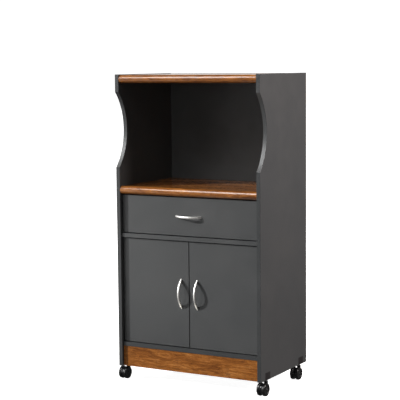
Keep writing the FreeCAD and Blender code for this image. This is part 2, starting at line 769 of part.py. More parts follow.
# ---------------------------------------------------------------- casters
def casters():
    """Four twin-wheel stem casters in sockets set into the side panels."""
    places = (("front", front + caster_front_inset), ("rear", rear - caster_back_inset))
    for row, y in places:
        caster(row, V(stem_x, y, 0))
        socket(y)


def socket(y):
    """Moulded socket in a notch of the right side panel's lower edge, and its twin."""
    half = socket_width / 2
    body = block(inner_half, half_width, y - half, y + half, base, base + socket_height)
    flange = block(inner_half - socket_flange, inner_half, y - half, y + half,
                   base, base + socket_flange_height)
    body = body.fuse(flange)
    body = body.cut(rod(V(stem_x, y, base - cut_over), V(0, 0, 1), stem_in_socket + stem_tip_gap + cut_over,
                        stem_radius + running_clearance))
    for step in (-socket_screw_spacing / 2, socket_screw_spacing / 2):
        seat = V(inner_half - socket_flange, y + step, base + socket_screw_rise)
        screw = wood_screw(seat, V(1, 0, 0), screw_bite, socket_flange)
        body = body.cut(screw)
        add("cabinet_screws", *both_sides([screw]))
        drill("right_side_panel", screw)
        drill("left_side_panel", mirrored(screw))
    add("caster_sockets", *both_sides([body.removeSplitter()]))
    notch = block(inner_half - cut_over, half_width + cut_over, y - half - fit, y + half + fit,
                  base - cut_over, base + socket_height)
    drill("right_side_panel", notch)
    drill("left_side_panel", mirrored(notch))


def caster(row, foot):
    """Web with its boss, stem, axle and two wheels about a stem standing at foot."""
    axle = V(foot.x, foot.y - caster_trail, wheel_radius)
    across = V(1, 0, 0)
    wheel_inner = caster_web / 2 + wheel_gap
    half_span = wheel_inner + wheel_width

    # hood: a round web between the wheels, joined to the stem boss behind them
    web_half = caster_web / 2
    web = rod(axle - across * web_half, across, caster_web, wheel_radius - web_inside_tread)
    below = block(axle.x - caster_web, axle.x + caster_web, axle.y - wheel_radius,
                  axle.y + wheel_radius, axle.z - wheel_radius, axle.z - web_skirt)
    boss = rod(V(foot.x, foot.y, boss_top - boss_drop), V(0, 0, 1), boss_drop, boss_radius)
    wheel_room = rod(axle - across * half_span, across, 2 * half_span, wheel_radius + boss_wheel_gap)
    gusset = block(axle.x - web_half, axle.x + web_half, foot.y - boss_radius, foot.y + gusset_back,
                   axle.z, boss_top - gusset_under)
    hood = web.cut(below).fuse([boss.cut(wheel_room), gusset])
    stem_low = boss_top - stem_in_boss
    stem = rod(V(foot.x, foot.y, stem_low), V(0, 0, 1), base + stem_in_socket - stem_low, stem_radius)
    axle_half = half_span - axle_end_cover - wheel_gap
    spindle = rod(axle - across * axle_half, across, 2 * axle_half, axle_radius)
    hood = hood.cut(stem.fuse(spindle)).removeSplitter()

    # wheel: rounded tread, dished outer face, blind bore on the axle
    def wheel(way):
        inner = axle + way * wheel_inner
        disc = rod(inner, way, wheel_width, wheel_radius)
        rims = [e for e in disc.Edges if isinstance(e.Curve, Part.Circle)]
        outer_rim = max(rims, key=lambda e: (e.Curve.Center - inner).Length)
        disc = disc.makeFillet(wheel_round, [outer_rim])
        inner_rim = min((e for e in disc.Edges if isinstance(e.Curve, Part.Circle)),
                        key=lambda e: (e.Curve.Center - inner).Length)
        disc = disc.makeFillet(wheel_hub_recess, [inner_rim])
        dish = rod(inner + way * (wheel_width - wheel_hub_recess), way, wheel_hub_recess + cut_over,
                   wheel_hub_radius)
        dish = dish.cut(rod(inner, way, wheel_width + 2 * cut_over, wheel_cap_radius))
        bore = rod(inner - way * cut_over, way, axle_half + wheel_gap - wheel_inner + cut_over,
                   axle_radius + running_clearance)
        return disc.cut([dish, bore])

    for side, place in (("right", lambda s: s), ("left", mirrored)):
        name = row + "_" + side + "_caster_"
        add(name + "hood", place(hood))
        add(name + "stem", place(stem), place(spindle))
        add(name + "outer_wheel", place(wheel(across)))
        add(name + "inner_wheel", place(wheel(-across)))


# ---------------------------------------------------------------- build and write
carcass()
fittings()
loose_shelf()
drawer_box()
runners()
doors()
casters()

os.makedirs("parts", exist_ok=True)
for name, solids in parts.items():
    if name in cuts:
        solids = [solid.cut(cuts[name]) for solid in solids]
    shape = solids[0] if len(solids) == 1 else Part.makeCompound(solids)
    shape.exportStep("parts/" + name + ".step")
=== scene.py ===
"""Microwave stand on casters: the finishes, the fine hardware and a plain studio around the CAD model."""
import json
import math

import bmesh
import bpy
from mathutils import Matrix, Vector


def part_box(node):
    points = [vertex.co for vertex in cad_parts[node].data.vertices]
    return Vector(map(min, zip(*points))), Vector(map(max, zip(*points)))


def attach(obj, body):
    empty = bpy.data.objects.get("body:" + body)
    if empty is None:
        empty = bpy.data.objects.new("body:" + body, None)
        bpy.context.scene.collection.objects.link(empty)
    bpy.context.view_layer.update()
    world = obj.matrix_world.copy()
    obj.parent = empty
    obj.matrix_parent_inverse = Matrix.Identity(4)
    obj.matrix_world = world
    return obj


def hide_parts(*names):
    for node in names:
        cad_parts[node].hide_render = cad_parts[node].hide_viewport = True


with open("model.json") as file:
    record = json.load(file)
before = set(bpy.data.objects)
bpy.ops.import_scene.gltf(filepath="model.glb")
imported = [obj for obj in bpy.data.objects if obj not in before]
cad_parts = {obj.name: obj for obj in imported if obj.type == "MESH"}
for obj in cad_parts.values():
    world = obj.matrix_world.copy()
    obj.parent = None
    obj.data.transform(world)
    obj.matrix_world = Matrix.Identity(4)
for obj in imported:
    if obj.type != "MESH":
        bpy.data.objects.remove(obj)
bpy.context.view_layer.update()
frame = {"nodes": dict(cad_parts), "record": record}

# ------------------------------------------------------------------ sizes, in metres
MM = 0.001
NODES = frame["nodes"]
SCENE = bpy.context.scene

FRONT_Y, REAR_Y = (corner.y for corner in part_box("right_side_panel"))
# Depth of the darker front edge of the laminate: dark edge tape and painted shade.
DARK_EDGE_DEPTH = 1 * MM
HALF_BACK_SHEET = 1.5 * MM
MERGE = 0.001 * MM
NO_LENGTH = 0.0001 * MM
UP = Vector((0, 0, 1))


# ------------------------------------------------------------------ shader maths
class Socket:
    """A number that varies over a surface; arithmetic on it adds Math nodes."""

    def __init__(self, finish, out):
        self.finish, self.out = finish, out

    def maths(self, operation, *others):
        return self.finish.node("ShaderNodeMath", {"operation": operation}, self, *others)

    def __add__(self, other):
        return self.maths("ADD", other)

    def __sub__(self, other):
        return self.maths("SUBTRACT", other)

    def __mul__(self, other):
        return self.maths("MULTIPLY", other)

    def __rsub__(self, other):
        return self * -1.0 + other

    __radd__, __rmul__ = __add__, __mul__

    def above(self, edge):
        return self.maths("GREATER_THAN", edge)

    def ramp(self, low, high, to_low=0.0, to_high=1.0):
        """Smooth step from to_low to to_high as this number goes from low to high."""
        return self.finish.node("ShaderNodeMapRange", {"interpolation_type": "SMOOTHSTEP"},
                                self, low, high, to_low, to_high)


class Finish:
    """A procedural material: one Principled shader, with helpers to build its patterns."""

    def __init__(self, name, colour, roughness, metallic=0.0, **constants):
        self.material = bpy.data.materials.new(name)
        self.material.use_nodes = True
        self.tree = self.material.node_tree
        self.shader = self.tree.nodes["Principled BSDF"]
        self.shader.inputs["Base Color"].default_value = (*colour, 1)
        self.shader.inputs["Roughness"].default_value = roughness
        self.shader.inputs["Metallic"].default_value = metallic
        for socket, value in constants.items():
            self.shader.inputs[socket.replace("_", " ")].default_value = value
        self.material.diffuse_color = (*colour, 1)
        self.place = self.node("ShaderNodeTexCoord", {}, output="Object")

    def node(self, kind, settings, *inputs, output=None, **named):
        """Add a node: its settings, then its sockets in order or by name; gives back one output."""
        made = self.tree.nodes.new(kind)
        for key, value in settings.items():
            if key == "stops":
                self.set_stops(made.color_ramp, value)
            else:
                setattr(made, key, value)
        slots = [s for s in made.inputs if s.enabled]
        for slot, value in zip(slots, inputs):
            self.feed(slot, value)
        for key, value in named.items():
            slot = next(s for s in slots if s.name == key.replace("_", " "))
            self.feed(slot, value)
        outs = [s for s in made.outputs if s.enabled]
        out = next(s for s in outs if s.name == output) if output else outs[0]
        return Socket(self, out)

    @staticmethod
    def set_stops(ramp, stops):
        while len(ramp.elements) < len(stops):
            ramp.elements.new(0.5)
        for element, (at, colour) in zip(ramp.elements, stops):
            element.position = at
            element.color = (*colour, 1)

    def feed(self, slot, value):
        if isinstance(value, Socket):
            self.tree.links.new(value.out, slot)
        else:
            slot.default_value = value

    def stretched(self, sx, sy, sz, shift=(0, 0, 0)):
        """Object coordinates scaled along each axis: a pattern then repeats about so often in a metre."""
        return self.node("ShaderNodeMapping", {}, self.place, Location=shift, Scale=(sx, sy, sz))

    def cloudy(self, per_metre, detail, **others):
        """Noise of the same scale along all axes."""
        return self.noise(self.stretched(per_metre, per_metre, per_metre), detail, **others)

    def noise(self, where, detail, rough=0.5, distort=0.0):
        return self.node("ShaderNodeTexNoise", {}, where, Scale=1.0, Detail=detail, Roughness=rough,
                         Distortion=distort)

    def axis(self, letter):
        """Object coordinate along X, Y or Z."""
        return self.node("ShaderNodeSeparateXYZ", {}, self.place, output=letter)

    def mix(self, factor, a, b):
        """Mix two colours; each is a link or a plain (r, g, b)."""
        first, second = ((*colour, 1) if isinstance(colour, tuple) else colour for colour in (a, b))
        return self.node("ShaderNodeMix", {"data_type": "RGBA"}, factor, first, second)

    def paint(self, colour=None, roughness=None, bumps=(), **others):
        """Connect the finished patterns; bumps are (height, distance in metres) pairs."""
        for socket, value in (("Base Color", colour), ("Roughness", roughness), *others.items()):
            if value is not None:
                self.feed(self.shader.inputs[socket.replace("_", " ")], value)
        normal = None
        for height, distance in bumps:
            links = {"Height": height, "Distance": distance, "Strength": 1.0}
            if normal is not None:
                links["Normal"] = normal
            normal = self.node("ShaderNodeBump", {}, **links)
        if normal is not None:
            self.feed(self.shader.inputs["Normal"], normal)
        return self.material


# ------------------------------------------------------------------ finishes
def charcoal_laminate(name="charcoal_laminate", front_y=FRONT_Y):
    """Dark grey melamine: soft clouding, pale specks, fine pebbling and a darker front edge, part dark edge
    tape and part painted shade.
    """
    f = Finish(name, (0.06, 0.062, 0.063), 0.4)
    dark_grey, grey = (0.053, 0.055, 0.056), (0.06, 0.061, 0.061)
    pale_speck, edge_tape_and_shade = (0.095, 0.097, 0.098), (0.034, 0.036, 0.037)
    cloud = f.cloudy(5, detail=4)
    rub = f.cloudy(14, detail=5, rough=0.6)
    speck = f.cloudy(700, detail=1)
    pebble = f.cloudy(1500, detail=2)
    colour = f.mix(cloud.ramp(0.3, 0.7), dark_grey, grey)
    colour = f.mix(speck.ramp(0.6, 0.75) * 0.3, colour, pale_speck)
    # Painted shade: the first mm behind the front is darkened. It stands in for dark edge tape and for the
    # shade on the lit edges.
    before_dark_edge_ends = front_y + DARK_EDGE_DEPTH - f.axis("Y")
    colour = f.mix(before_dark_edge_ends.above(0.0) * 0.85, colour, edge_tape_and_shade)
    roughness = rub.ramp(0.35, 0.75, 0.38, 0.46)
    return f.paint(colour, roughness, bumps=[(pebble, 0.00004)])


def oak_laminate():
    """Warm oak print, its grain along X: figure round small knots, dark strokes, pores and a clear coat."""
    f = Finish("oak_laminate", (0.25, 0.085, 0.014), 0.55, Coat_Roughness=0.09, Specular_IOR_Level=0.12)
    dark, brown = (0.13, 0.037, 0.004), (0.27, 0.086, 0.011)
    amber, honey = (0.41, 0.145, 0.025), (0.62, 0.26, 0.066)
    streak_brown, knot_brown, pore_brown = (0.1, 0.027, 0.003), (0.07, 0.018, 0.002), (0.045, 0.011, 0.002)
    knot = f.node("ShaderNodeTexVoronoi", {"feature": "F1"}, f.stretched(3.4, 15, 15, shift=(0.31, 0.2, 0.6)),
                  Scale=1.0, output="Distance")
    swirl = knot.ramp(0.04, 0.3, 0.022, 0.0)
    sway = f.noise(f.stretched(6, 14, 14), detail=3)
    drift = (sway - 0.5) * 0.045 + swirl
    wavy = f.node("ShaderNodeVectorMath", {"operation": "ADD"}, f.place,
                  f.node("ShaderNodeCombineXYZ", {}, 0.0, drift, drift))

    def grain(along, across, detail, rough=0.55):
        where = f.node("ShaderNodeMapping", {}, wavy, Scale=(along, across, across))
        return f.noise(where, detail, rough)
    board = grain(2.5, 26, 3)
    band = grain(7, 95, 4, 0.65)
    stroke = grain(22, 240, 3, 0.6)
    streak = grain(16, 520, 4, 0.7)
    pore = grain(34, 1300, 2)
    figure = board * 0.2 + band * 0.4 + stroke * 0.4
    colour = f.node("ShaderNodeValToRGB",
                    {"stops": [(0.38, dark), (0.46, brown), (0.53, amber), (0.62, honey)]}, figure)
    colour = f.mix(stroke.ramp(0.53, 0.64) * 0.75, colour, dark)
    colour = f.mix(streak.ramp(0.52, 0.66) * 0.4, colour, streak_brown)
    colour = f.mix(knot.ramp(0.03, 0.16, 0.75, 0.0), colour, knot_brown)
    colour = f.mix(pore.ramp(0.56, 0.68) * 0.6, colour, pore_brown)
    roughness = streak.ramp(0.3, 0.7, 0.42, 0.58)
    return f.paint(colour, roughness, bumps=[(pore.ramp(0.56, 0.7, 1.0, 0.0), 0.00006)],
                   Coat_Weight=band.ramp(0.2, 0.8, 0.65, 0.85))


def hardboard():
    """Back sheets: dark printed foil inside, bare brown pressed fibre with a screen pattern outside."""
    f = Finish("hardboard", (0.045, 0.044, 0.043), 0.6)
    dark_fibre, pale_fibre, stain = (0.16, 0.085, 0.042), (0.31, 0.19, 0.1), (0.12, 0.062, 0.03)
    dark_foil, grey_foil = (0.05, 0.052, 0.053), (0.062, 0.064, 0.065)
    radians_per_metre = 2600.0
    outside = f.axis("Y").above(REAR_Y + HALF_BACK_SHEET)
    fibre = f.cloudy(260, detail=5, rough=0.7)
    cloud = f.cloudy(7, detail=3)
    warp, weft = ((f.axis(letter) * radians_per_metre).maths("SINE") for letter in "XZ")
    screen = warp * weft * 0.5 + 0.5
    brown = f.mix(fibre.ramp(0.3, 0.75), dark_fibre, pale_fibre)
    brown = f.mix(cloud.ramp(0.35, 0.7) * 0.3, brown, stain)
    foil = f.mix(cloud.ramp(0.3, 0.7), dark_foil, grey_foil)
    colour = f.mix(outside, foil, brown)
    roughness = outside * 0.3 + fibre * 0.12 + 0.42
    return f.paint(colour, roughness, bumps=[(screen * outside, 0.0001), (fibre, 0.00006)])


def drawer_foil():
    """Grey paper foil on the drawer box."""
    f = Finish("drawer_foil", (0.16, 0.16, 0.16), 0.5)
    mid_grey, pale_grey, line_grey = (0.145, 0.146, 0.147), (0.16, 0.161, 0.161), (0.1, 0.1, 0.1)
    cloud = f.noise(f.stretched(6, 30, 30), detail=4)
    grain = f.noise(f.stretched(40, 600, 600), detail=2)
    colour = f.mix(cloud.ramp(0.3, 0.7), mid_grey, pale_grey)
    colour = f.mix(grain.ramp(0.52, 0.72) * 0.35, colour, line_grey)
    return f.paint(colour, cloud.ramp(0.2, 0.8, 0.44, 0.56), bumps=[(grain, 0.00003)])


def beech():
    """Bare beech of the dowels, flecked along X."""
    f = Finish("beech", (0.52, 0.33, 0.18), 0.6)
    pale_wood, fleck_brown = (0.56, 0.37, 0.21), (0.4, 0.24, 0.12)
    fleck = f.noise(f.stretched(60, 900, 900), detail=3)
    colour = f.mix(fleck.ramp(0.35, 0.7), pale_wood, fleck_brown)
    return f.paint(colour, fleck.ramp(0.2, 0.8, 0.52, 0.68), bumps=[(fleck, 0.00008)])


def brushed(name, colour, dark, roughness, along, spread=0.08):
    """Plated metal with fine brushing along one axis and slight handling marks."""
    f = Finish(name, colour, roughness, metallic=1.0)
    lines_across, lines_along = 2400.0, 60.0
    scale = [lines_along if axis == along else lines_across for axis in "XYZ"]
    lines = f.noise(f.stretched(*scale), detail=3, rough=0.65)
    smudge = f.cloudy(60, detail=4)
    tint = f.mix(lines.ramp(0.3, 0.7) * 0.5 + smudge * 0.25, colour, dark)
    rough = lines * spread + smudge.ramp(0.4, 0.8, 0.0, 0.06) + (roughness - spread / 2)
    return f.paint(tint, rough, bumps=[(lines, 0.000015)])


def plated(name, colour, dark, roughness):
    """Stamped, plated steel: a soft orange peel and dull patches."""
    f = Finish(name, colour, roughness, metallic=1.0)
    peel = f.cloudy(500, detail=3)
    patch = f.cloudy(90, detail=4)
    tint = f.mix(patch.ramp(0.35, 0.75), colour, dark)
    return f.paint(tint, patch.ramp(0.3, 0.8, roughness - 0.06, roughness + 0.12), bumps=[(peel, 0.00003)])


def enamel():
    """White epoxy coat on the runner profiles, with grey rub marks where the rollers pass."""
    f = Finish("runner_enamel", (0.6, 0.59, 0.56), 0.35)
    white, rub_grey = (0.62, 0.61, 0.58), (0.36, 0.35, 0.33)
    peel = f.cloudy(260, detail=3)
    rubbed = f.noise(f.stretched(220, 9, 220), detail=4, rough=0.65)
    colour = f.mix(rubbed.ramp(0.6, 0.8) * 0.4, white, rub_grey)
    return f.paint(colour, rubbed.ramp(0.3, 0.8, 0.3, 0.5), bumps=[(peel, 0.00006)])


def moulded(name, colour, pale, roughness, grain=900.0, depth=0.00003):
    """Moulded plastic: faint flow clouding, a moulded texture and dust-dulled patches."""
    f = Finish(name, colour, roughness)
    flow = f.cloudy(45, detail=4, distort=0.6)
    texture = f.cloudy(grain, detail=2)
    tint = f.mix(flow.ramp(0.45, 0.8) * 0.6, colour, pale)
    return f.paint(tint, flow.ramp(0.3, 0.8, roughness - 0.04, roughness + 0.1), bumps=[(texture, depth)])


SATIN_NICKEL = ((0.82, 0.81, 0.78), (0.72, 0.71, 0.68), 0.46)
SOCKET_BLACK, SOCKET_PALE = (0.014, 0.012, 0.012), (0.03, 0.027, 0.026)
GLOSS_BLACK, GLOSS_PALE = (0.006, 0.006, 0.007), (0.012, 0.012, 0.013)
WHEEL_BLACK, WHEEL_PALE = (0.008, 0.008, 0.008), (0.02, 0.02, 0.02)

FINISHES = {
    "charcoal_laminate": charcoal_laminate(),
    "charcoal_shelf": charcoal_laminate("charcoal_shelf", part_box("bottom_shelf")[0].y),
    "oak_laminate": oak_laminate(),
    "hardboard": hardboard(),
    "drawer_board": drawer_foil(),
    "beech": beech(),
    "satin_nickel": brushed("satin_nickel", *SATIN_NICKEL, along="X"),
    "satin_nickel_upright": brushed("satin_nickel_upright", *SATIN_NICKEL, along="Z"),
    "nickel_plate": plated("nickel_plate", (0.68, 0.67, 0.64), (0.52, 0.51, 0.48), 0.26),
    "zinc_plate": plated("zinc_plate", (0.6, 0.61, 0.62), (0.45, 0.46, 0.47), 0.34),
    "die_cast_zinc": plated("die_cast_zinc", (0.42, 0.43, 0.44), (0.3, 0.31, 0.32), 0.48),
    "runner_enamel": enamel(),
    "nylon": moulded("nylon", (0.74, 0.73, 0.68), (0.82, 0.81, 0.78), 0.42),
    "dark_plastic": moulded("dark_plastic", (0.05, 0.045, 0.04), (0.075, 0.068, 0.06), 0.45),
    "socket_plastic": moulded("socket_plastic", SOCKET_BLACK, SOCKET_PALE, 0.5, grain=600.0, depth=0.00006),
    "black_plastic": moulded("black_plastic", GLOSS_BLACK, GLOSS_PALE, 0.16, grain=300.0, depth=0.00002),
    "wheel_plastic": moulded("wheel_plastic", WHEEL_BLACK, WHEEL_PALE, 0.26, grain=500.0),
}


def dress_cad_nodes():
    """Give every CAD node the finish of its record slot."""
    slots = {p["node"]: p["material_slot"] for p in frame["record"]["subparts"]}
    slots["bottom_shelf"] = "charcoal_shelf"
    for name, obj in NODES.items():
        obj.data.materials.clear()
        obj.data.materials.append(FINISHES[slots[name]])


# ------------------------------------------------------------------ mesh tools
def piece(name, mesh, body, slot, finish=None, sharp_angle=40.0):
    """Wrap a finished mesh as an object that rides on a body; its finish is the slot's unless given."""
    obj = bpy.data.objects.new(name, mesh)
    SCENE.collection.objects.link(obj)
    mesh.materials.clear()
    mesh.materials.append(FINISHES[finish or slot])
    mesh.shade_smooth()
    mesh.set_sharp_from_angle(angle=math.radians(sharp_angle))
    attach(obj, body)
    return obj


def closed(bm):
    """Merge doubles, turn all faces outwards and give back a mesh."""
    bmesh.ops.remove_doubles(bm, verts=bm.verts, dist=MERGE)
    bmesh.ops.recalc_face_normals(bm, faces=bm.faces)
    mesh = bpy.data.meshes.new("shape")
    bm.to_mesh(mesh)
    bm.free()
    return mesh


def loft(rings):
    """Closed skin over a list of equal rings of points, capped at both ends."""
    bm = bmesh.new()
    rows = [[bm.verts.new(p) for p in ring] for ring in rings]
    count = len(rows[0])
    for a, b in zip(rows, rows[1:]):
        for i in range(count):
            bm.faces.new((a[i], a[(i + 1) % count], b[(i + 1) % count], b[i]))
    bm.faces.new(rows[0])
    bm.faces.new(rows[-1][::-1])
    return bm


def turned(profile, segments):
    """Lathe a closed (radius, height) profile about Z; points on the axis make the poles."""
    bm = bmesh.new()
    turns = [2 * math.pi * i / segments for i in range(segments)]
    rows = []
    for radius, height in profile:
        if radius < NO_LENGTH:
            rows.append([bm.verts.new((0, 0, height))] * segments)
        else:
            rows.append([bm.verts.new((radius * math.cos(t), radius * math.sin(t), height)) for t in turns])
    for a, b in zip(rows, rows[1:]):
        for i in range(segments):
            j = (i + 1) % segments
            corners = list(dict.fromkeys((a[i], a[j], b[j], b[i])))
            if len(corners) > 2:
                bm.faces.new(corners)
    return bm


def joined(meshes):
    """One mesh from several."""
    bm = bmesh.new()
    for mesh in meshes:
        bm.from_mesh(mesh)
    made = bpy.data.meshes.new("joined")
    bm.to_mesh(made)
    bm.free()
    return made


def facing(direction):
    """Rotation that turns +Z to a direction."""
    return Vector(direction).to_track_quat("Z", "Y").to_matrix().to_4x4()


def islands(node):
    """Corner points of each separate solid in a CAD node."""
    bm = bmesh.new()
    bm.from_mesh(NODES[node].data)
    bmesh.ops.remove_doubles(bm, verts=bm.verts, dist=MERGE)
    seen, groups = set(), []
    for start in bm.verts:
        if start in seen:
            continue
        group, stack = [], [start]
        seen.add(start)
        while stack:
            vert = stack.pop()
            group.append(vert.co.copy())
            for edge in vert.link_edges:
                other = edge.other_vert(vert)
                if other not in seen:
                    seen.add(other)
                    stack.append(other)
        groups.append(group)
    bm.free()
    return groups


def cut_away(mesh, cutters):
    """Boolean difference of a mesh and closed cutter meshes, without slivers."""
    obj = bpy.data.objects.new("blank", mesh)
    SCENE.collection.objects.link(obj)
    tools = []
    for cutter in cutters:
        tool = bpy.data.objects.new("cutter", cutter)
        SCENE.collection.objects.link(tool)
        tools.append(tool)
        modifier = obj.modifiers.new("cut", "BOOLEAN")
        modifier.operation, modifier.object, modifier.solver = "DIFFERENCE", tool, "EXACT"
    made = bpy.data.meshes.new_from_object(obj.evaluated_get(bpy.context.evaluated_depsgraph_get()))
    for spent in [obj, *tools]:
        bpy.data.objects.remove(spent)
    bm = bmesh.new()
    bm.from_mesh(made)
    bmesh.ops.remove_doubles(bm, verts=bm.verts, dist=MERGE)
    bmesh.ops.dissolve_degenerate(bm, edges=bm.edges, dist=MERGE)
    bm.to_mesh(made)
    bm.free()
    return made


# ------------------------------------------------------------------ repeated hardware, by Geometry Nodes
def scatter_tree():
    """Tree that stands copies of a pattern on points, aimed along their "aim" and turned by "turn"."""
    tree = bpy.data.node_groups.new("stand_on_points", "GeometryNodeTree")
    add_socket = tree.interface.new_socket
    add_socket("Geometry", in_out="INPUT", socket_type="NodeSocketGeometry")
    add_socket("Pattern", in_out="INPUT", socket_type="NodeSocketObject")
    add_socket("Size", in_out="INPUT", socket_type="NodeSocketFloat").default_value = 1.0
    add_socket("Finish", in_out="INPUT", socket_type="NodeSocketMaterial")
    add_socket("Geometry", in_out="OUTPUT", socket_type="NodeSocketGeometry")

    def node(kind, **settings):
        made = tree.nodes.new(kind)
        for key, value in settings.items():
            setattr(made, key, value)
        return made

    def attribute(name, kind):
        made = node("GeometryNodeInputNamedAttribute", data_type=kind)
        made.inputs["Name"].default_value = name
        return made.outputs["Attribute"]

    link = tree.links.new
    given, result = node("NodeGroupInput"), node("NodeGroupOutput")
    pattern = node("GeometryNodeObjectInfo")
    aim = node("FunctionNodeAlignEulerToVector", axis="Z")
    spin = node("FunctionNodeRotateEuler", rotation_type="AXIS_ANGLE", space="LOCAL")
    spin.inputs["Axis"].default_value = (0, 0, 1)
    stand = node("GeometryNodeInstanceOnPoints")
    real = node("GeometryNodeRealizeInstances")
    coat = node("GeometryNodeSetMaterial")
    link(given.outputs["Pattern"], pattern.inputs["Object"])
    link(attribute("aim", "FLOAT_VECTOR"), aim.inputs["Vector"])
    link(aim.outputs[0], spin.inputs["Rotation"])
    link(attribute("turn", "FLOAT"), spin.inputs["Angle"])
    link(given.outputs["Geometry"], stand.inputs["Points"])
    link(pattern.outputs["Geometry"], stand.inputs["Instance"])
    link(spin.outputs[0], stand.inputs["Rotation"])
    link(given.outputs["Size"], stand.inputs["Scale"])
    link(stand.outputs["Instances"], real.inputs["Geometry"])
    link(real.outputs["Geometry"], coat.inputs["Geometry"])
    link(given.outputs["Finish"], coat.inputs["Material"])
    link(coat.outputs["Geometry"], result.inputs["Geometry"])
    return tree


SCATTER = scatter_tree()
TURN_STEP = 0.7  # from one copy to the next, in radians


def scattered(places, pattern, finish):
    """Mesh of copies of a pattern mesh at (point, direction) places, each turned a little differently."""
    points = bpy.data.meshes.new("places")
    points.from_pydata([p for p, _ in places], [], [])
    points.attributes.new("aim", "FLOAT_VECTOR", "POINT")
    points.attributes.new("turn", "FLOAT", "POINT")
    for i, (_, way) in enumerate(places):
        points.attributes["aim"].data[i].vector = way
        points.attributes["turn"].data[i].value = TURN_STEP * i
    holder = bpy.data.objects.new("holder", points)
    model = bpy.data.objects.new("pattern", pattern)
    for obj in (holder, model):
        SCENE.collection.objects.link(obj)
    modifier = holder.modifiers.new("stand", "NODES")
    modifier.node_group = SCATTER
    sockets = {item.name: item.identifier for item in SCATTER.interface.items_tree if item.in_out == "INPUT"}
    modifier[sockets["Pattern"]] = model
    modifier[sockets["Size"]] = 1.0
    modifier[sockets["Finish"]] = FINISHES[finish]
    made = bpy.data.meshes.new_from_object(holder.evaluated_get(bpy.context.evaluated_depsgraph_get()))
    for obj in (holder, model):
        bpy.data.objects.remove(obj)
    return made


# ------------------------------------------------------------------ bow handles
HANDLE_SAGITTA = 26 * MM
HANDLE_INNER_SAGITTA = 19.7 * MM
HANDLE_FOOT = 13 * MM
SECTION_POWER = 2.6
BOW_STEPS, BOW_AROUND = 72, 36


def arc_point(chord, sagitta, share):
    """Point on a circular arc over a chord along X, rising towards -Y; share runs 0 to 1."""
    radius = (chord * chord / 4 + sagitta * sagitta) / (2 * sagitta)
    half_turn = math.asin(min(chord / 2 / radius, 1.0))
    turn = (2 * share - 1) * half_turn
    return Vector((radius * math.sin(turn), radius - sagitta - radius * math.cos(turn), 0))


def bow_mesh(length, width):
    """Bow lying along X on the plane y = 0: a rounded section swept between two arcs."""
    rings = []
    for i in range(BOW_STEPS + 1):
        share = i / BOW_STEPS
        outer = arc_point(length, HANDLE_SAGITTA, share)
        inner = arc_point(length - 2 * HANDLE_FOOT, HANDLE_INNER_SAGITTA, share)
        centre, reach = (outer + inner) / 2, (outer - inner) / 2
        ring = []
        for j in range(BOW_AROUND):
            turn = 2 * math.pi * j / BOW_AROUND
            across, upward = (math.copysign(abs(v) ** (2 / SECTION_POWER), v)
                              for v in (math.cos(turn), math.sin(turn)))
            ring.append(centre + reach * across + UP * (upward * width / 2))
        rings.append(ring)
    return closed(loft(rings))


def bow_handles():
    """Replace the three plain handles."""
    for node, body, upright in (("drawer_handle", "drawer", False), ("left_door_handle", "left_door", True),
                                ("right_door_handle", "right_door", True)):
        low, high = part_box(node)
        size = high - low
        length, width = (size.z, size.x) if upright else (size.x, size.z)
        mesh = bow_mesh(length, width)
        if upright:
            mesh.transform(Matrix.Rotation(math.radians(90), 4, "Y"))
        mesh.transform(Matrix.Translation(((low.x + high.x) / 2, high.y, (low.z + high.z) / 2)))
        finish = "satin_nickel_upright" if upright else "satin_nickel"
        obj = piece(node + "_bow", mesh, body, "satin_nickel", finish, sharp_angle=60)
        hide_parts(node)


# ------------------------------------------------------------------ casters
CASTERS = ("front_left_caster", "front_right_caster", "rear_left_caster", "rear_right_caster")
WEB_HALF = 5 * MM
WEB_INSIDE_TREAD = 2 * MM
WEB_SKIRT = 9 * MM
WEB_ROUND = 1.2 * MM
WEB_STEPS = 56
GUSSET_BACK = 5.6 * MM
GUSSET_UNDER = 2 * MM
GUSSET_CURVE = 5 * MM
GUSSET_ROUND = 0.6 * MM
GUSSET_STEPS = 8
STEM_RADIUS = 4 * MM
BOSS_RADIUS = 7 * MM
BOSS_DROP = 17 * MM
BOSS_WHEEL_GAP = 1.2 * MM
BOSS_SEGMENTS = 48

# Boss outline, in mm: inset and rise at its round foot, inset and depth at its groove and its round crown.
BOSS_FOOT = ((0.8, 0), (0.2, 0.3), (0, 1.0))
BOSS_GROOVE = ((0, 3.4), (0.5, 3.0), (0.5, 2.6), (0, 2.2))
BOSS_CROWN = ((0, 0.8), (0.3, 0.2), (0.9, 0))

WHEEL_ROOM_HALF = 1.0  # far past the boss on both sides
WHEEL_ROOM_SEGMENTS = 96
RIM_SEGMENTS = 3


def rounded_plate(outline, x_low, x_high, round_off):
    """Flat plate from an outline in Y and Z, its rims rounded."""
    bm = bmesh.new()
    face = bm.faces.new([bm.verts.new((x_low, y, z)) for y, z in outline])
    made = bmesh.ops.extrude_face_region(bm, geom=[face])
    moved = [v for v in made["geom"] if isinstance(v, bmesh.types.BMVert)]
    bmesh.ops.translate(bm, verts=moved, vec=(x_high - x_low, 0, 0))
    rims = [e for e in bm.edges if abs(e.verts[0].co.x - e.verts[1].co.x) < NO_LENGTH]
    bmesh.ops.bevel(bm, geom=rims, offset=round_off, segments=RIM_SEGMENTS, affect="EDGES", profile=0.5)
    return closed(bm)


def arc(y, z, radius, start, end, steps):
    """Points in Y and Z round a centre, the angles in degrees from +Y towards +Z."""
    turns = [math.radians(start + (end - start) * i / steps) for i in range(steps + 1)]
    return [(y + radius * math.cos(t), z + radius * math.sin(t)) for t in turns]


def along_axle(mesh, place, sign=1):
    """Lay a mesh turned about Z along the axle, its +Z to the right or the left, and take it to its place."""
    mesh.transform(Matrix.Translation(place) @ Matrix.Rotation(math.radians(90 * sign), 4, "Y"))
    return mesh


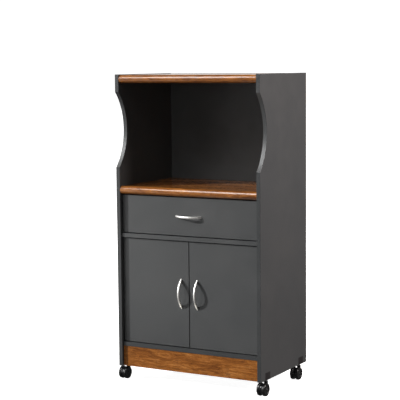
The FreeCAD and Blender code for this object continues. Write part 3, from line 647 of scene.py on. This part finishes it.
def caster_body(axle, foot_y, radius, top):
    """Round web between the wheels, a gusset behind it and the stem's boss."""
    reach = radius - WEB_INSIDE_TREAD
    skirt = math.degrees(math.asin(WEB_SKIRT / reach))
    disc = arc(axle.y, axle.z, reach, -skirt, 180 + skirt, WEB_STEPS)
    web = rounded_plate(disc, axle.x - WEB_HALF, axle.x + WEB_HALF, WEB_ROUND)
    back, high = foot_y + GUSSET_BACK, top - GUSSET_UNDER
    fin = arc(back - GUSSET_CURVE, axle.z + GUSSET_CURVE, GUSSET_CURVE, -90, 0, GUSSET_STEPS)
    fin += [(back, high), (foot_y - BOSS_RADIUS, high), (foot_y - BOSS_RADIUS, axle.z)]
    gusset = rounded_plate(fin, axle.x - WEB_HALF, axle.x + WEB_HALF, GUSSET_ROUND)
    return joined([web, gusset, caster_boss(axle, foot_y, radius, top)])


def caster_boss(axle, foot_y, radius, top):
    """Turned boss round the stem, hollowed to leave the wheels their room."""
    foot = top - BOSS_DROP
    sides = [(0, foot)]
    sides += [(BOSS_RADIUS - inset * MM, foot + rise * MM) for inset, rise in BOSS_FOOT]
    sides += [(BOSS_RADIUS - inset * MM, top - depth * MM) for inset, depth in BOSS_GROOVE + BOSS_CROWN]
    sides.append((0, top))
    boss = closed(turned(sides, BOSS_SEGMENTS))
    boss.transform(Matrix.Translation((axle.x, foot_y, 0)))
    reach = radius + BOSS_WHEEL_GAP
    room = [(0, -WHEEL_ROOM_HALF), (reach, -WHEEL_ROOM_HALF), (reach, WHEEL_ROOM_HALF), (0, WHEEL_ROOM_HALF)]
    return cut_away(boss, [along_axle(closed(turned(room, WHEEL_ROOM_SEGMENTS)), axle)])


def caster_pieces():
    """Bodies and wheels of the four casters."""
    for caster in CASTERS:
        wheel_low, wheel_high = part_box(caster + "_outer_wheel")
        body_low, body_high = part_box(caster + "_hood")
        radius = (wheel_high.z - wheel_low.z) / 2
        axle = Vector(((body_low.x + body_high.x) / 2, (wheel_low.y + wheel_high.y) / 2, radius))
        foot_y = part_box(caster + "_stem")[1].y - STEM_RADIUS
        mesh = caster_body(axle, foot_y, radius, body_high.z)
        obj = piece(caster + "_moulding", mesh, caster, "black_plastic", sharp_angle=35)
        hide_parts(caster + "_hood")
        for which in ("_outer_wheel", "_inner_wheel"):
            low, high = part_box(caster + which)
            outward = 1 if (low.x + high.x) / 2 > axle.x else -1
            inner_face = Vector((low.x if outward > 0 else high.x, axle.y, axle.z))
            mesh = along_axle(wheel_mesh(radius, high.x - low.x), inner_face, outward)
            obj = piece(caster + which + "_tyre", mesh, caster + which, "wheel_plastic", sharp_angle=35)
            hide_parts(caster + which)


# Wheel, in mm. Each pair of its outer face is a radius and a depth under the face.
BORE_RADIUS, BORE_CLOSED = 3.05, 2.1
BORE_LEAD_IN, BORE_LEAD_DEPTH = 0.35, 0.3
INNER_ROUND, OUTER_ROUND = 1.5, 3.5
RIM_GROOVE = ((19.0, 0), (18.8, 0.3), (18.2, 0.3), (18.0, 0))
DISH = ((16.6, 0), (16.1, 0.25), (15.4, 1.1), (14.6, 1.4), (12.0, 1.5), (7.4, 1.5))
HUB_CAP = ((6.2, 1.3), (5.4, 0.8), (4.9, 0.25), (4.3, 0.03), (2.4, 0), (0, 0))
WHEEL_SEGMENTS = 80


def wheel_mesh(radius, width):
    """Wheel turned about Z from its inner face at z = 0: bore, round tread, rim groove, dish and hub cap."""
    r, w = radius / MM, width / MM
    profile = [(0, w - BORE_CLOSED), (BORE_RADIUS, w - BORE_CLOSED), (BORE_RADIUS, BORE_LEAD_DEPTH),
               (BORE_RADIUS + BORE_LEAD_IN, 0)]
    profile += [(r - INNER_ROUND + INNER_ROUND * math.sin(t), INNER_ROUND - INNER_ROUND * math.cos(t))
                for t in map(math.radians, (0, 22, 45, 68, 90))]
    profile += [(r - OUTER_ROUND + OUTER_ROUND * math.cos(t), w - OUTER_ROUND + OUTER_ROUND * math.sin(t))
                for t in map(math.radians, range(0, 91, 9))]
    profile += [(at, w - depth) for at, depth in RIM_GROOVE + DISH + HUB_CAP]
    return closed(turned([(a * MM, b * MM) for a, b in profile], WHEEL_SEGMENTS))


# ------------------------------------------------------------------ screws and nails
HEAD_RISE = {"machine": 2.2 * MM, "pan": 1.6 * MM, "flush": 0.0}
DOME_FOOT = 0.35  # share of the rise where the dome starts
SCREW_SEGMENTS = 32
RECESS_REACH = {"machine": 0.58, "pan": 0.58, "flush": 0.62}  # share of the head's radius
RECESS_DEPTH = 1.1 * MM
RECESS_OPEN = 0.1 * MM
BLADE_TOP, BLADE_TIP = (1.0, 0.17), (0.45, 0.1)  # half length and half width, as shares of the reach


def cross_recess(top, reach, depth):
    """Two tapering blades that sink a cross into a screw head."""
    blades = []
    for turn in (0, 90):
        rows = []
        for z, (along, across) in ((top + RECESS_OPEN, BLADE_TOP), (top - depth, BLADE_TIP)):
            rows.append([Vector((x * along * reach, y * across * reach, z))
                         for x, y in ((-1, -1), (1, -1), (1, 1), (-1, 1))])
        blade = closed(loft(rows))
        blade.transform(Matrix.Rotation(math.radians(turn), 4, "Z"))
        blades.append(blade)
    return blades


def screw_mesh(kind, shank_radius, length, head_radius):
    """Screw with its bearing face at z = 0 (flush: its top), shank towards -Z."""
    r, h, rise = shank_radius, head_radius, HEAD_RISE[kind]
    profile = [(0, -length), (r * 0.5, -length + r), (r, -length + 2.5 * r)]
    if kind == "flush":
        profile += [(r, -(h - r)), (h - 0.1 * MM, -0.15 * MM), (h, -0.05 * MM), (h - 0.15 * MM, 0), (0, 0)]
    else:
        dome = [(h * math.cos(t), rise * (DOME_FOOT + (1 - DOME_FOOT) * math.sin(t)))
                for t in map(math.radians, range(0, 90, 15))]
        profile += [(r, 0), (h, 0), *dome, (0, rise)]
    blank = closed(turned(profile, SCREW_SEGMENTS))
    return cut_away(blank, cross_recess(rise, RECESS_REACH[kind] * h, RECESS_DEPTH))


# How a screw is told from its corner points: those off its axis give the shank, those at its rim the head.
OFF_AXIS = 1 * MM
RIM_BAND = 0.1 * MM
FLUSH_BAND = 0.2 * MM
THICK_HEAD = 2 * MM
SIZE_DIGITS = 4  # in metres, so that sizes are told apart by a tenth of a mm


def screw_place(points):
    """Kind, sizes, seat and outward direction of a screw from its corner points."""
    low = Vector(min(p[i] for p in points) for i in range(3))
    high = Vector(max(p[i] for p in points) for i in range(3))
    size, middle = high - low, (low + high) / 2
    along = max(range(3), key=lambda i: size[i])

    def reach(p):
        off = p - middle
        off[along] = 0
        return off.length
    wide = max(reach(p) for p in points)
    narrow = min(reach(p) for p in points if reach(p) > OFF_AXIS)
    head = [p[along] for p in points if reach(p) > wide - RIM_BAND]
    out = 1 if sum(head) / len(head) > middle[along] else -1
    head_end, rim_end = (high[along], max(head)) if out > 0 else (low[along], min(head))
    if max(head) - min(head) > THICK_HEAD:
        kind = "machine"
    elif abs(head_end - rim_end) < FLUSH_BAND:
        kind = "flush"
    else:
        kind = "pan"
    seat, way = middle.copy(), Vector((0, 0, 0))
    seat[along] = head_end - out * HEAD_RISE[kind]
    way[along] = out
    sizes = (round(value, SIZE_DIGITS) for value in (narrow, size[along] - HEAD_RISE[kind], wide))
    return (kind, *sizes), seat, way


def detailed_screws():
    """Replace every screw with one that has a cross recess; equal screws share one mesh."""
    for node, body in (("cabinet_screws", "cabinet"), ("drawer_screws", "drawer"),
                       ("left_door_screws", "left_door"), ("right_door_screws", "right_door")):
        groups = {}
        for points in islands(node):
            kind_and_sizes, seat, way = screw_place(points)
            groups.setdefault(kind_and_sizes, []).append((seat, way))
        meshes = [scattered(places, screw_mesh(*key), "zinc_plate") for key, places in sorted(groups.items())]
        obj = piece(node + "_cross", joined(meshes), body, "zinc_plate", sharp_angle=30)
        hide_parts(node)


# Nail, in mm: radius and height over the sheet, from its foot in the sheet to the middle of its head.
NAIL = ((0, -0.6), (2.4, -0.6), (2.5, -0.1), (2.3, 0.15), (1.4, 0.32), (0, 0.36))
NAIL_SEGMENTS = 20
NAIL_PITCH = 95 * MM
NAIL_INSET = 7.5 * MM


def nail_line(low, high, least=1):
    """Evenly spaced places between two rims of a back sheet, its end nails included."""
    first, last = low + NAIL_INSET, high - NAIL_INSET
    gaps = max(least, round((last - first) / NAIL_PITCH))
    return [first + (last - first) * i / gaps for i in range(gaps + 1)]


def back_nails():
    """Small round nail heads along the rims of both back sheets."""
    pattern = closed(turned([(radius * MM, height * MM) for radius, height in NAIL], NAIL_SEGMENTS))
    places = []
    for node in ("upper_back_panel", "lower_back_panel"):
        low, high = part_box(node)
        across, upward = nail_line(low.x, high.x), nail_line(low.z, high.z, least=2)
        places += [(x, high.y, z) for x in (across[0], across[-1]) for z in upward]
        places += [(x, high.y, z) for z in (upward[0], upward[-1]) for x in across[1:-1]]
    nails = scattered([(place, (0, 1, 0)) for place in places], pattern, "zinc_plate")
    piece("back_nails", nails, "cabinet", "zinc_plate")


# ------------------------------------------------------------------ studio and camera
FLOOR_RADIUS = 30.0
FLOOR_GLOW, BACKDROP_GLOW = 0.93, 1.0
WORLD_LIGHT = 0.1
WHITE = (1, 1, 1)


def studio():
    """White room round the stand, with its lamps."""
    bm = bmesh.new()
    bmesh.ops.create_circle(bm, cap_ends=True, segments=96, radius=FLOOR_RADIUS)
    floor = stage_piece("floor", bm, "studio_floor", FLOOR_GLOW)
    bm = bmesh.new()
    bmesh.ops.create_uvsphere(bm, u_segments=64, v_segments=32, radius=FLOOR_RADIUS - 1)
    drop = stage_piece("backdrop", bm, "studio_backdrop", BACKDROP_GLOW)
    drop.visible_diffuse = drop.visible_glossy = drop.visible_shadow = False
    floor.visible_diffuse = floor.visible_glossy = False

    # Key and card from the left, one lamp ahead, a fill from the right and one overhead.
    key = light("key", "SUN", 3.9, (-1.6, -0.97, 0.73), angle=math.radians(3.0))
    card = light("card", "AREA", 8, (-2.9, -3.0, 0.5), size=(1.6, 1.0), target=(0, 0, 0.4))
    front = light("front", "AREA", 19, (0.7, -4.2, 1.2), size=(1.4, 1.0), target=(0, 0, 0.93))
    fill = light("fill", "AREA", 75, (2.4, 0.2, 1.6), size=(1.0, 1.0), target=(0.3, 0, 0.8),
                 colour=(1.0, 0.92, 0.9))
    over = light("over", "AREA", 15, (-0.46, -1.9, 2.6), size=(1.93, 0.6), target=(-0.2, -0.1, 0.8))

    # Cards that show in gloss only: on the board noses, the handles and the top board.
    gloss = light("gloss", "AREA", 50, (-1.2, -1.7, 2.6), size=(0.8, 1.6), target=(-0.2, -0.1, 0.8))
    side = light("side", "AREA", 0.8, (-0.95, -1.1, 0.23), size=(0.5, 0.35), target=(-0.1, -0.1, 0.3))
    low = light("low", "AREA", 1.5, (-0.65, -1.15, 0.02), size=(1.2, 0.6), target=(-0.65, -1.15, 1.0))
    near = light("near", "AREA", 0.2, (-0.15, -0.26, 0.02), size=(0.4, 0.12), target=(-0.15, -0.26, 1.0),
                 colour=(1.0, 0.95, 0.88))
    near.data.spread = math.radians(75)
    horizon = light("horizon", "AREA", 30, (-2.4, 4.4, 2.2), size=(4.2, 2.6), target=(-2.4, 0, 2.2))
    for mirror_only in (gloss, side, low, near, horizon):
        mirror_only.visible_diffuse = mirror_only.visible_camera = False

    # One lamp behind for views of the back. It and the one ahead leave no image in gloss.
    back = light("back", "AREA", 90, (-1.6, 4.4, 2.2), size=(2.4, 2.4), target=(0, 0, 0.6))
    front.visible_glossy = back.visible_glossy = False
    surround()


def surround():
    """Faint white light from all sides, and colours shown as they are."""
    world = bpy.data.worlds.new("surround")
    world.use_nodes = True
    background = world.node_tree.nodes["Background"]
    background.inputs["Color"].default_value = (*WHITE, 1)
    background.inputs["Strength"].default_value = WORLD_LIGHT
    SCENE.world = world
    SCENE.view_settings.view_transform = "Standard"


def stage_piece(name, bm, finish, glow):
    """White paper surface around the object, lit a little from within."""
    mesh = bpy.data.meshes.new(name)
    bm.to_mesh(mesh)
    bm.free()
    obj = bpy.data.objects.new(name, mesh)
    SCENE.collection.objects.link(obj)
    paper = Finish(finish, (0.86, 0.86, 0.86), 0.9, Emission_Color=(*WHITE, 1), Emission_Strength=glow)
    paper.paint(paper.mix(paper.cloudy(3, detail=3), (0.85, 0.85, 0.85), (0.87, 0.87, 0.87)))
    mesh.materials.append(paper.material)
    return obj


def light(name, kind, power, place, angle=None, size=None, target=(0, 0, 0), colour=WHITE):
    """A lamp at a place, aimed at a target; a sun only takes its direction."""
    lamp = bpy.data.lights.new(name, kind)
    lamp.energy, lamp.color = power, colour
    if angle:
        lamp.angle = angle
    if size:
        lamp.shape, lamp.size, lamp.size_y = "RECTANGLE", *size
    obj = bpy.data.objects.new(name, lamp)
    SCENE.collection.objects.link(obj)
    obj.matrix_world = Matrix.Translation(place) @ facing(Vector(place) - Vector(target))
    return obj


CAMERA_PLACE = Vector((2.3667, -4.2670, 1.1939))
CAMERA_YAW, CAMERA_PITCH, CAMERA_ROLL = -29.509, -6.033, -0.534
FOCAL_PIXELS, PICTURE_PIXELS = 1311.0, 400.0
SENSOR_WIDTH = 36.0
FAR_CLIP = 100.0


def camera():
    """Long lens at chest height, front and right side in view."""
    yaw, pitch, roll = (math.radians(a) for a in (CAMERA_YAW, CAMERA_PITCH, CAMERA_ROLL))
    ahead = Vector((math.sin(yaw) * math.cos(pitch), math.cos(yaw) * math.cos(pitch), math.sin(pitch)))
    right = Vector((math.cos(yaw), -math.sin(yaw), 0))
    up = right.cross(ahead)
    right, up = math.cos(roll) * right + math.sin(roll) * up, math.cos(roll) * up - math.sin(roll) * right
    data = bpy.data.cameras.new("camera")
    data.sensor_width = SENSOR_WIDTH
    data.lens = FOCAL_PIXELS * SENSOR_WIDTH / PICTURE_PIXELS
    data.clip_end = FAR_CLIP
    obj = bpy.data.objects.new("camera", data)
    SCENE.collection.objects.link(obj)
    turn = Matrix((right, up, -ahead)).transposed().to_4x4()
    obj.matrix_world = Matrix.Translation(CAMERA_PLACE) @ turn
    SCENE.camera = obj


# ------------------------------------------------------------------ build
dress_cad_nodes()
bow_handles()
caster_pieces()
detailed_screws()
back_nails()
studio()
camera()
